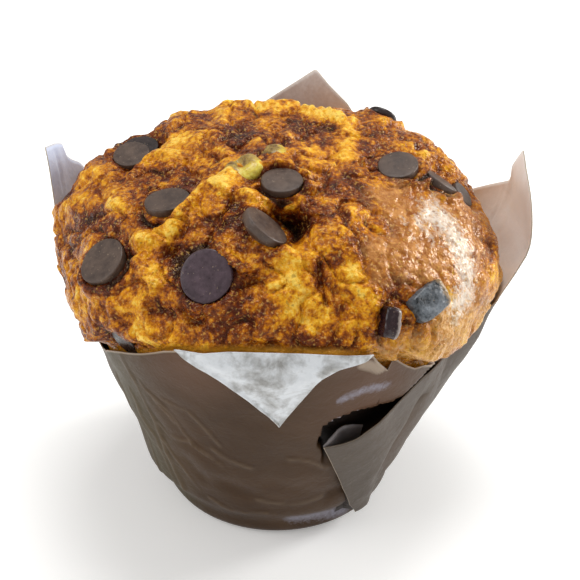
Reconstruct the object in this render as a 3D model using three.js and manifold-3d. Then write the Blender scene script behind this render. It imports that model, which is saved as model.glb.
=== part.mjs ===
// A muffin in a folded paper case, millimetres, +Z up.
// The origin is the centre of the round underside. The folded-down corner of the paper faces -Y.
import * as THREE from "three";
import { mergeVertices } from "three/addons/utils/BufferGeometryUtils.js";
import Module from "manifold-3d";

const wasm = await Module();
wasm.setup();

// ---------- driving dimensions ----------
const baseRadius = 25; // round bottom that the paper is pressed to
const baseRounding = 3; // between the bottom and the wall
const wallFlare = 0.315; // widening of the wall for each millimetre of height
const paperWall = 0.5; // the paper with its air gaps, as one closed wall
const clearance = 0.35; // between touching pieces
const cakeSlack = 0.7; // more room where the case is hollowed
const foldHeight = 58.8; // the front corner is folded down along this height
const foldReach = 41.5; // from the axis to the straight fold
const crownHeight = 79.5; // top of the cake
const crownRadius = 43; // widest ring of the cake
const crownCentre = new THREE.Vector3(0, 0, 44); // the lumps of the crust stand out from here
const segments = 64; // around the axis

const degrees = Math.PI / 180;
const colours = { crust: 0xb8741a, chocolate: 0x4a3429, fruit: 0xc9b040, paper: 0x4f3c2e };

// ---------- small helpers ----------
const smooth = (low, high, x) => THREE.MathUtils.smoothstep(x, low, high);
const turnBetween = (a, b) => ((a - b + 540) % 360) - 180; // signed degrees from b to a

// The value at an azimuth of a closed outline of [azimuth, value] pairs, in degrees.
function around(outline, azimuth) {
  const place = ((azimuth % 360) + 360) % 360;
  const [lastPlace, lastValue] = outline[outline.length - 1];
  let [fromPlace, fromValue] = [lastPlace - 360, lastValue];
  for (const [toPlace, toValue] of [...outline, [outline[0][0] + 360, outline[0][1]]]) {
    if (place <= toPlace) {
      const share = (place - fromPlace) / (toPlace - fromPlace);
      return THREE.MathUtils.lerp(fromValue, toValue, share);
    }
    [fromPlace, fromValue] = [toPlace, toValue];
  }
  return lastValue;
}

// Moves every vertex of a geometry to where place(x, y, z) says.
function reshape(geometry, place) {
  const position = geometry.attributes.position;
  for (let i = 0; i < position.count; i++) {
    const [x, y, z] = place(position.getX(i), position.getY(i), position.getZ(i));
    position.setXYZ(i, x, y, z);
  }
  return geometry;
}

function solidOf(geometry) {
  const bare = geometry.clone();
  for (const name of ["normal", "uv"]) bare.deleteAttribute(name);
  const merged = mergeVertices(bare, 1e-3);
  return new wasm.Manifold(new wasm.Mesh({
    numProp: 3,
    vertProperties: merged.attributes.position.array,
    triVerts: new Uint32Array(merged.index.array),
  }));
}

function geometryOf(solid) {
  const mesh = solid.getMesh();
  const geometry = new THREE.BufferGeometry();
  geometry.setAttribute("position", new THREE.BufferAttribute(mesh.vertProperties, 3));
  geometry.setIndex(new THREE.BufferAttribute(mesh.triVerts, 1));
  return geometry;
}

// A profile of [radius, height] pairs spun about +Z.
function spun(profile, steps) {
  const points = profile.map(([radius, height]) => new THREE.Vector2(radius, height));
  return new THREE.LatheGeometry(points, steps).rotateX(Math.PI / 2);
}

// ---------- the paper case ----------
// Height of the paper's edge around the case: four corners stand up between low stretches.
const rim = [
  [5, 74.2], [9.2, 70.6], [14, 64.2], [21, 60.2], [34, 53], [45, 48], [56, 57], [67.5, 69.3],
  [78, 76.4], [94, 67.9], [112, 54], [135, 46], [150, 59.5], [158.7, 67.1], [164, 72.5],
  [169.6, 73.6], [173.4, 61.3], [175, 55.5], [187, 50], [192, 45], [197, 38.5], [205, 41],
  [215, 46], [225, 50], [235, 53.5], [243, 56.8], [248, 58.2], [259, foldHeight], [275.5, 58.3],
  [285.6, 57.8], [290.7, 56.6], [293, 56.1], [296, 53.2], [300, 50.5], [306.3, 48.9],
  [310.5, 46.6], [314.5, 45.6], [320, 43.4], [325, 41.9], [329.4, 43], [335, 45.6], [338, 48.5],
  [343, 51.5], [346.5, 57], [349.5, 65.5], [354, 69.5], [358.5, 71.7],
];
// How far the wall stands outside the plain cone from half way up.
const swell = [
  [0, 6], [16, 6], [45, 2.6], [78, 3.2], [120, 2.6], [150, 3], [180, 2.8], [196, 2.2], [205, 1],
  [220, 0], [300, 0], [318, 0.6], [332, 2], [342, 6.4], [352, 6.4],
];
// How far the corners' tips lean outwards from there.
const tipLean = [
  [0, -5.6], [16, -5], [78, -8.6], [130, -4], [150, -4.6], [166, -4.6], [190, -4.6], [220, 0],
  [320, 0], [340, -5.6],
];

// Bellies and hollows of the wall: azimuth and width in degrees, height and width, rise.
const bellies = [
  [345, 32, 47, 10, -2.8], [345, 30, 26, 7, 1.3], [345, 34, 5, 6, -1.5],
  [198, 20, 41, 10, -2.2], [198, 28, 6, 8, 1],
];

// Radius of the paper's outer face.
function caseRadius(azimuth, height) {
  const cone = baseRadius + wallFlare * height;
  const outwards = around(swell, azimuth) * smooth(22, 46, height);
  const leansFrom = THREE.MathUtils.lerp(58, 46, smooth(24, 40, Math.abs(turnBetween(azimuth, 355))));
  const lean = around(tipLean, azimuth) * smooth(leansFrom, 76, height);
  let round = cone + outwards + lean;
  for (const [middle, span, level, tall, rise] of bellies) {
    const away = Math.hypot(turnBetween(azimuth, middle) / span, (height - level) / tall);
    round += rise * Math.exp(-(away ** 2));
  }
  const flat = foldReach / Math.max(0.6, Math.cos((azimuth - 270) * degrees));
  const flatness = smooth(foldHeight - 30, foldHeight, height) * (Math.abs(turnBetween(azimuth, 270)) < 60);
  return THREE.MathUtils.lerp(round, Math.min(round, flat), flatness);
}

const wallRows = [0.06, 0.18, 0.32, 0.46, 0.6, 0.72, 0.82, 0.91, 1];
const rimNominal = 100; // the rows are laid out on a plain wall of this height, then moved

// The wall's section as a plain upright cup: its outer face, its edge and its inner face.
function caseProfile() {
  const roundingAt = (reach, angle) => [
    baseRadius - baseRounding + reach * Math.cos(angle * degrees),
    baseRounding + reach * Math.sin(angle * degrees),
  ];
  const thin = baseRounding - paperWall;
  return [
    [0, 0], [12, 0], [baseRadius - baseRounding, 0],
    ...[-60, -30, 0].map((angle) => roundingAt(baseRounding, angle)),
    ...wallRows.map((row) => [baseRadius, baseRounding + row * rimNominal]),
    ...wallRows.toReversed().map((row) => [baseRadius - paperWall, baseRounding + row * rimNominal]),
    ...[0, -30, -60].map((angle) => roundingAt(thin, angle)),
    [baseRadius - baseRounding, paperWall], [12, paperWall], [0, paperWall],
  ];
}

// Each column of the cup is stretched to its own edge height and flared.
function caseShell() {
  return reshape(spun(caseProfile(), segments), (x, y, z) => {
    const radius = Math.hypot(x, y);
    if (z <= baseRounding + 1e-6 || radius < 1) return [x, y, z];
    const azimuth = Math.atan2(y, x) / degrees;
    const row = (z - baseRounding) / rimNominal;
    const height = baseRounding + row * (around(rim, azimuth) - baseRounding);
    const blend = smooth(0, 6, height - baseRounding);
    const shift = (caseRadius(azimuth, height) - baseRadius) * blend;
    const scale = (radius + shift) / radius;
    return [x * scale, y * scale, height];
  });
}

// A thin plate laid round the case. place gives azimuth, height and radius from shares of 0 to 1.
function laidPlate(columns, rows, place) {
  return reshape(new THREE.BoxGeometry(1, 1, 1, columns, 1, rows), (x, y, z) => {
    const [azimuth, height, radius] = place(x + 0.5, z + 0.5, 0.5 - y);
    return [radius * Math.cos(azimuth * degrees), radius * Math.sin(azimuth * degrees), height];
  });
}

// The front corner, folded outwards and down over the wall.
const cornerDrop = 18; // from the fold to the hanging tip
const cornerHalfTurn = 22.5; // degrees each side of the front, at the fold
const cornerStand = 0.6; // gap behind the hanging paper

function foldedCorner() {
  return laidPlate(14, 7, (across, up, through) => {
    const height = foldHeight + 0.1 - (1 - up) * cornerDrop;
    const azimuth = 270 + (2 * across - 1) * Math.max(1.5, cornerHalfTurn * up ** 0.9);
    const back = THREE.MathUtils.lerp(cornerStand, -paperWall / 2, smooth(0.8, 1, up));
    return [azimuth, height, caseRadius(azimuth, height) + back + through * paperWall];
  });
}

// The pleat at the front right: paper laid back over the wall as a flap, open along its top edge.
const flapLeft = [284, 307]; // azimuth of its free crease, at its top corner and at its foot
const flapRight = 326;
const flapFoot = 3.2;
const flapTop = [[284, 32.4], [293, 34], [297, 35.8], [306, 38.6], [316, 40.8], [326, 41.2]];

function pleatFlap() {
  return laidPlate(16, 8, (across, up, through) => {
    const crease = THREE.MathUtils.lerp(flapLeft[1], flapLeft[0], up);
    const azimuth = THREE.MathUtils.lerp(crease, flapRight, across);
    const top = around(flapTop, Math.min(azimuth, flapRight));
    const height = THREE.MathUtils.lerp(flapFoot, top, up);
    const open = 2 * Math.sin(Math.PI * Math.min(1, across * 1.05)) * up ** 2;
    const back = -paperWall / 2 + open * (1 - smooth(0.9, 1, across));
    return [azimuth, height, caseRadius(azimuth, height) + back + through * 2 * paperWall];
  });
}

// ---------- the cake ----------
const cakeProfile = [
  [0, 0], [12, 0], [21, 0], [23.2, 1], [24.3, 3.2], [25.8, 9], [29, 19], [31.6, 27],
  [33.2, 32], [35.4, 36], [38.2, 39.5], [40.6, 43.5], [42.3, 47.5], [crownRadius, 52], [42.6, 56.5],
  [41.3, 61], [38.6, 65.4], [34.8, 69.2], [29.6, 72.8], [23.6, 75.8], [16.8, 78], [9, 79.2],
  [0, crownHeight],
];

// The crust's lumps and hollows: azimuth, elevation and width in degrees, and height.
const lumps = [
  [172, 24, 15, 2.2], [171, 36, 9, 2.4], [142, 50, 10, 2], [122, 50, 12, 0.2], [250, 78, 12, 0.8], [222, 46, 9, -0.6],
  [215, 30, 13, 0.8], [205, 62, 9, -2], [248, 55, 11, 1.2], [258, 38, 8, -1], [275, 62, 8, -1.2],
  [298, 40, 12, 1.6], [278, 26, 7, -1.2], [345, 22, 18, 2], [20, 40, 14, 2], [50, 45, 16, 0.9],
  [36, 44, 8, -1], [197, 6, 10, -1.3],
  [345, 56, 8, -1.4], [310, 15, 10, 1], [348, 6, 8, 2.2], [225, 4, 14, 1], [80, 15, 20, 1],
];

const direction = (azimuth, elevation) => new THREE.Vector3(
  Math.cos(azimuth * degrees) * Math.cos(elevation * degrees),
  Math.sin(azimuth * degrees) * Math.cos(elevation * degrees),
  Math.sin(elevation * degrees),
);

// The point of the crust with its lumps, from a point of the plain dome.
function lumpy(point) {
  const outwards = point.clone().sub(crownCentre).normalize();
  let height = 0;
  for (const [azimuth, elevation, width, rise] of lumps) {
    const away = outwards.angleTo(direction(azimuth, elevation)) / degrees;
    height += rise * Math.exp(-((away / width) ** 2));
  }
  return point.clone().addScaledVector(outwards, height * smooth(36, 46, point.z));
}

// The cake fills the case up to its edge and spills over it in a crown.
function cakeBlank() {
  const lift = paperWall + clearance;
  return reshape(spun(cakeProfile, segments), (x, y, z) => {
    const point = lumpy(new THREE.Vector3(x, y, z + lift * (1 - smooth(0, 10, z))));
    const radius = Math.hypot(point.x, point.y);
    if (radius < 0.01) return point.toArray();
    const azimuth = Math.atan2(point.y, point.x) / degrees;
    const held = caseRadius(azimuth, point.z) - paperWall - clearance - cakeSlack;
    const edge = around(rim, azimuth);
    const inside = 1 - smooth(edge + 2, edge + 6, point.z);
    const scale = THREE.MathUtils.lerp(1, Math.min(1, held / radius), inside);
    return [point.x * scale, point.y * scale, point.z];
  });
}

// ---------- what is baked into the crust ----------
// A drop of chocolate lying flat face out: its face is at z 0 and its tip points down.
function dropOfChocolate(radius, grow) {
  const outline = [
    [0, -radius - grow], [radius * 0.28 + grow, -radius * 0.86], [radius * 0.72 + grow, -radius * 0.56],
    [radius * 0.94 + grow, -radius * 0.27], [radius + grow, -0.4], [radius - 0.4, grow], [0, grow],
  ];
  return spun(outline, 16);
}

// A broken block of chocolate or fruit, its sides given in millimetres.
function block(size, grow) {
  const [wide, deep, high] = size.map((side) => side + 2 * grow);
  return new THREE.BoxGeometry(wide, deep, high);
}

function pebble(size, grow) {
  const [wide, deep, high] = size.map((side) => side / 2 + grow);
  return new THREE.SphereGeometry(1, 14, 8).rotateX(Math.PI / 2).scale(wide, deep, high);
}

// Each piece: its place, where its outer face looks (azimuth, elevation) and its turn about that.
const chips = [
  { name: "chip_top", at: [1.2, -16.6, 78.8], looks: [270, 82], radius: 3.9 },
  { name: "chip_upper_left", at: [-19.4, -17.6, 75.6], looks: [195, 83], radius: 4.3 },
  { name: "chip_left_shoulder", at: [-28, 3.6, 74.5], looks: [245, 74], radius: 3.7 },
  { name: "chip_left_shoulder_back", at: [-27, 7.3, 73.9], looks: [240, 78], radius: 3.8 },
  { name: "chip_left_side", at: [-31.2, -23.4, 66.4], looks: [216, 52], radius: 4.7 },
  { name: "chip_front", at: [-11.9, -34.6, 69.8], looks: [256, 38], radius: 4.8 },
  { name: "chip_middle", at: [-1.4, -27.4, 75.6], looks: [5, 50], radius: 4.5 },
  { name: "chip_right", at: [23, -6.2, 76.6], looks: [240, 76], radius: 4 },
  { name: "chip_far_right", at: [31.2, -4.4, 72.7], looks: [20, 54], radius: 4.2 },
  { name: "chip_right_edge", at: [36.6, -2.2, 68.2], looks: [350, 40], radius: 2.8 },
  { name: "chip_back", at: [22.4, 20.2, 74.9], looks: [60, 34], radius: 3.2 },
  { name: "chip_left_rim", at: [-27.6, -28.6, 51.8], looks: [226, -22], radius: 3.4 },
];
const blocks = [
  { name: "chocolate_chunk_small", at: [19.4, -36.6, 61.4], looks: [292, 25], turn: 10, size: [3, 5, 4] },
  { name: "chocolate_chunk_large", at: [26.8, -31.3, 62.2], looks: [308, 30], turn: 52, size: [7, 4.6, 3] },
];
const pebbles = [
  { name: "fruit_piece_large", at: [-5.6, -13, 79], looks: [250, 70], turn: 15, size: [6.4, 5, 3] },
  { name: "fruit_piece_small", at: [0, -7.6, 79.5], looks: [270, 80], turn: 0, size: [4.2, 4.6, 2.4] },
];

// Turns a shape made looking up +Z so that it looks along its direction, and puts it in its place.
function placed(geometry, { at, looks, turn = 0 }) {
  const aim = new THREE.Quaternion().setFromUnitVectors(new THREE.Vector3(0, 0, 1), direction(...looks));
  return geometry.rotateZ(turn * degrees).applyQuaternion(aim).translate(...at);
}

const muffin = new THREE.Group();

function addPiece(name, solid, color, roughness) {
  const look = new THREE.MeshStandardMaterial({ color, roughness, metalness: 0 });
  const mesh = new THREE.Mesh(geometryOf(solid), look);
  mesh.name = name;
  muffin.add(mesh);
}

let cake = solidOf(cakeBlank());
let taken = null; // all that is already in the cake, so that no two pieces meet

function bakeIn(piece, shape, color, roughness) {
  const grown = solidOf(placed(shape(clearance), piece));
  let solid = solidOf(placed(shape(0), piece));
  if (taken) solid = solid.subtract(taken);
  taken = taken ? taken.add(grown) : grown;
  cake = cake.subtract(grown);
  addPiece(piece.name, solid, color, roughness);
}

for (const chip of chips) {
  bakeIn(chip, (grow) => dropOfChocolate(chip.radius, grow), colours.chocolate, 0.45);
}
for (const chunk of blocks) bakeIn(chunk, (grow) => block(chunk.size, grow), colours.chocolate, 0.4);
for (const fruit of pebbles) bakeIn(fruit, (grow) => pebble(fruit.size, grow), colours.fruit, 0.35);

const paperCase = solidOf(caseShell()).add(solidOf(foldedCorner())).add(solidOf(pleatFlap()));
addPiece("paper_case", paperCase, colours.paper, 0.5);
addPiece("cake", cake, colours.crust, 0.6);

export default muffin;
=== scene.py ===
import math

import bpy
import numpy as np
from mathutils import Matrix, Vector, noise


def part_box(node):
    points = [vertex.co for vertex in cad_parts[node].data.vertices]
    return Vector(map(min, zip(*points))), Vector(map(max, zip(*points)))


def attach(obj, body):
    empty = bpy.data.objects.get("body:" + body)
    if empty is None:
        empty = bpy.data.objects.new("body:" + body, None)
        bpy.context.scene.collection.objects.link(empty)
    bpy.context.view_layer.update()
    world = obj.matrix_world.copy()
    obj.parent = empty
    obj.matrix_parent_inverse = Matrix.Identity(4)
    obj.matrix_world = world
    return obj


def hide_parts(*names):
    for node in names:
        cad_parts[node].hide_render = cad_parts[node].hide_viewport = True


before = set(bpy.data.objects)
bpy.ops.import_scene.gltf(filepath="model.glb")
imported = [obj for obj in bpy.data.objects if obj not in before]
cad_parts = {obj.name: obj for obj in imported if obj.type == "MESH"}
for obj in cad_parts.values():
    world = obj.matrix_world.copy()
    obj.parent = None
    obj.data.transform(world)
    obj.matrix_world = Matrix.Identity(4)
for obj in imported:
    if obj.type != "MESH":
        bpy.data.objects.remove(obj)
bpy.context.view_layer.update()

mm = 0.001
scene = bpy.context.scene


# Small helpers. Lengths are in millimetres and angles in degrees until a mesh is written.

def smooth(low, high, value):
    share = np.clip((np.asarray(value, float) - low) / (high - low), 0, 1)
    return share * share * (3 - 2 * share)


def mix(start, end, share):
    return start + (end - start) * share


def bell(away, width=1):  # 1 in the middle, falling softly to 0 beyond the width
    return np.exp(-((away / width) ** 2))


def unit(ways):
    return ways / np.linalg.norm(ways, axis=1)[:, None]


def around(outline, azimuth):  # value at an azimuth of a closed list of (azimuth, value)
    places, values = zip(*outline)
    return np.interp(np.mod(azimuth, 360), places, values, period=360)


def turnBetween(a, b):
    return np.mod(a - b + 180, 360) - 180


def bearing(azimuth, elevation):  # unit vectors
    a, e = np.radians(azimuth), np.radians(elevation)
    return np.stack([np.cos(a) * np.cos(e), np.sin(a) * np.cos(e), np.sin(e) + 0 * a], -1)


def startClean():
    if bpy.context.mode != "OBJECT":
        bpy.ops.object.mode_set(mode="OBJECT")
    bpy.ops.object.select_all(action="DESELECT")


def named(name):
    piece = bpy.context.object
    piece.name = piece.data.name = name
    return piece


def hold(piece):  # the only selected piece
    startClean()
    bpy.context.view_layer.objects.active = piece
    piece.select_set(True)


def settle():  # puts the piece's place in its mesh
    bpy.ops.object.transform_apply(location=True, rotation=True, scale=True)


def pick(piece, kind, wanted):  # edit mode with only the wanted faces or edges selected
    bpy.ops.object.mode_set(mode="EDIT")
    bpy.ops.mesh.select_mode(type=kind)
    bpy.ops.mesh.select_all(action="DESELECT")
    bpy.ops.object.mode_set(mode="OBJECT")
    for part in (piece.data.polygons if kind == "FACE" else piece.data.edges):
        part.select = bool(wanted(part))
    bpy.ops.object.mode_set(mode="EDIT")


def heightsOf(mesh, part):  # of a face's or an edge's corners, in metres
    return [mesh.vertices[i].co.z for i in part.vertices]


def makeBlock(name, place, cuts):  # a 2 mm cube, subdivided
    startClean()
    bpy.ops.mesh.primitive_cube_add(size=2 * mm, location=place)
    piece = named(name)
    bpy.ops.object.mode_set(mode="EDIT")
    for number in cuts:
        bpy.ops.mesh.select_all(action="SELECT")
        bpy.ops.mesh.subdivide(number_cuts=number)
    bpy.ops.object.mode_set(mode="OBJECT")
    settle()
    return piece


def pointsOf(piece):
    flat = np.empty(len(piece.data.vertices) * 3)
    piece.data.vertices.foreach_get("co", flat)
    return flat.reshape(-1, 3) / mm


def movePoints(piece, points):
    piece.data.vertices.foreach_set("co", (np.asarray(points) * mm).ravel())
    piece.data.update()


def paint(piece, name, values):  # a number for each point that the material can read
    attribute = piece.data.attributes.get(name)
    if attribute is None:
        attribute = piece.data.attributes.new(name, "FLOAT", "POINT")
    attribute.data.foreach_set("value", np.clip(values, -4, 4).astype(np.float32))


def addToModel(piece, node):
    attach(piece, "root")
    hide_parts(node)


def grain(points, size, seed):  # smooth noise from -1 to 1, its lumps about size across
    offset = Vector((seed * 17.3, seed * 5.7, seed * 11.9))
    return np.array([noise.noise(Vector(p) + offset) for p in (points / size).tolist()])


def pathDistance(points, path):  # nearest distance from each point to a line through path
    nearest = np.full(len(points), 1e9)
    for start, end in zip(path[:-1], path[1:]):
        run = end - start
        share = np.clip((points - start) @ run / max(run @ run, 1e-9), 0, 1)
        away = points - start - share[:, None] * run
        nearest = np.minimum(nearest, np.sqrt((away * away).sum(1)))
    return nearest


# The paper's shape: the CAD case's own outline, so that everything meets.
case = dict(
    baseRadius=25, baseRounding=3, wallFlare=0.315, foldHeight=58.8, foldReach=41.5,
    thickness=0.22, columns=480, rows=72,
    footShare=0.05,  # how much of the rows the rounding at the foot takes
    rim=[
        (5.2, 74.2), (9.2, 70.6), (12.4, 67.6), (12.9, 64.4), (20.9, 60.2), (25, 58), (34, 53),
        (45, 48), (56, 57), (67.6, 69.3), (73.3, 73), (77.7, 76.4), (85.4, 72.3), (93.8, 67.9),
        (112, 54), (135, 46), (150, 59.5), (155.6, 65.4), (158.7, 67.1), (160.6, 68.6),
        (161, 71.4), (164, 72.5), (169.6, 73.6), (171.5, 68.5), (173.4, 61.3), (175, 55.5),
        (187, 50), (192, 45), (197, 38.5), (205, 41), (215, 46), (225, 50), (235, 53.5),
        (243, 56.8), (248, 58.2), (259, 58.8), (275.5, 58.3), (285.6, 57.8), (290.7, 56.6),
        (293.1, 56.1), (295.8, 53.2), (299.6, 50), (300, 53.2), (303.2, 51), (306.3, 48.9),
        (310.5, 46.6), (314.5, 45.6), (320, 43.4), (325.2, 41.9), (329.4, 43), (335, 45.6),
        (338, 48.5), (343, 51.5), (346.5, 57), (349.5, 65.5), (354, 69.5), (358.5, 71.7),
    ],
    swell=[
        (0, 6), (16, 6), (45, 2.6), (78, 3.2), (120, 2.6), (150, 3), (180, 2.8), (196, 2.2),
        (205, 1), (220, 0), (300, 0), (318, 0.6), (332, 2), (342, 6.4), (352, 6.4),
    ],
    tipLean=[
        (0, -5.6), (16, -5), (78, -8.6), (130, -4), (150, -4.6), (166, -4.6), (190, -4.6),
        (220, 0), (320, 0), (340, -5.6),
    ],
    # bellies and hollows of the wall: azimuth and width in degrees, height and width, rise
    bellies=[
        (345, 32, 47, 10, -2.8), (345, 30, 26, 7, 1.3), (345, 34, 5, 6, -1.5),
        (198, 20, 41, 10, -2.2), (198, 28, 6, 8, 1.0),
    ],
    # The wall sinks in behind the open pleat, between the flap's edge and this outline.
    pocketTop=[(281.5, 32), (282.7, 35), (283.4, 38), (286.4, 39.4), (293.2, 40.3), (298.8, 39.9),
               (306, 39.2), (316, 42), (325, 42.6)],
    flapTop=[(283.6, 32.6), (289.5, 33.3), (293.2, 34.2), (297.3, 36), (301.6, 37.6), (306.5, 38.9),
             (311.3, 40.2), (316.4, 41.4), (325.2, 42), (329, 43)],
)


def caseRadius(azimuth, height):
    cone = case["baseRadius"] + case["wallFlare"] * height
    outwards = around(case["swell"], azimuth) * smooth(22, 46, height)
    tipFrom = mix(46, 58, smooth(40, 24, np.abs(turnBetween(azimuth, 355))))
    lean = around(case["tipLean"], azimuth) * smooth(tipFrom, 76, height)
    plain = cone + outwards + lean
    for middle, span, level, tall, rise in case["bellies"]:
        away = (turnBetween(azimuth, middle) / span) ** 2 + ((height - level) / tall) ** 2
        plain = plain + rise * np.exp(-away)
    front = np.maximum(0.6, np.cos(np.radians(azimuth - 270)))
    flat = case["foldReach"] / front
    nearFront = np.abs(turnBetween(azimuth, 270)) < 60
    flatness = smooth(case["foldHeight"] - 30, case["foldHeight"], height) * nearFront
    return mix(plain, np.minimum(plain, flat), flatness)


def onCase(azimuth, height, out=0):  # a point of the case's outside
    radius = caseRadius(azimuth, height) + out
    a = np.radians(azimuth)
    return np.stack([radius * np.cos(a), radius * np.sin(a), height + 0 * a], -1)


def pocketDepth(azimuth, height):  # 1 inside the opening of the pleat
    low = around([(270, 32), *case["flapTop"], (340, 43)], azimuth)
    high = around([(270, 32), *case["pocketTop"], (340, 43)], azimuth)
    reach = mix(-1, -9, smooth(283.6, 285.5, azimuth))
    inside = smooth(0, 0.9, high - height + 0.2) * smooth(reach, reach / 3, height - low)
    return inside * smooth(282, 283.6, azimuth) * smooth(327, 323, azimuth)


def casePath(places):
    azimuths, heights = np.array(places, float).T
    return onCase(azimuths, heights)


# The chips' places come from the flat face of each CAD chip.
chipNames = sorted(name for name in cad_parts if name.startswith("chip_"))


def flatFace(node):  # centre, direction and radius of a CAD chip's flat face
    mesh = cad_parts[node].data
    areas = {}
    for face in mesh.polygons:
        key = tuple(round(value, 2) for value in face.normal)
        areas.setdefault(key, [0, []])
        areas[key][0] += face.area
        areas[key][1].extend(face.vertices)
    key, (_, corners) = max(areas.items(), key=lambda item: item[1][0])
    normal = np.array(key) / np.linalg.norm(key)
    places = np.array([mesh.vertices[i].co for i in corners]) / mm
    side = np.cross(normal, (0, 0, 1))
    side /= np.linalg.norm(side)
    axes = np.array([side, np.cross(normal, side)])
    spread = places @ axes.T
    middle = (spread.max(0) + spread.min(0)) / 2
    radius = (spread.max(0) - spread.min(0)).max() / 2 + 0.35
    centre = middle @ axes + normal * (places @ normal).mean()
    return centre, normal, radius


chipFaces = {name: flatFace(name) for name in chipNames}
print("chip faces", {name: round(float(face[2]), 2) for name, face in chipFaces.items()})

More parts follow.
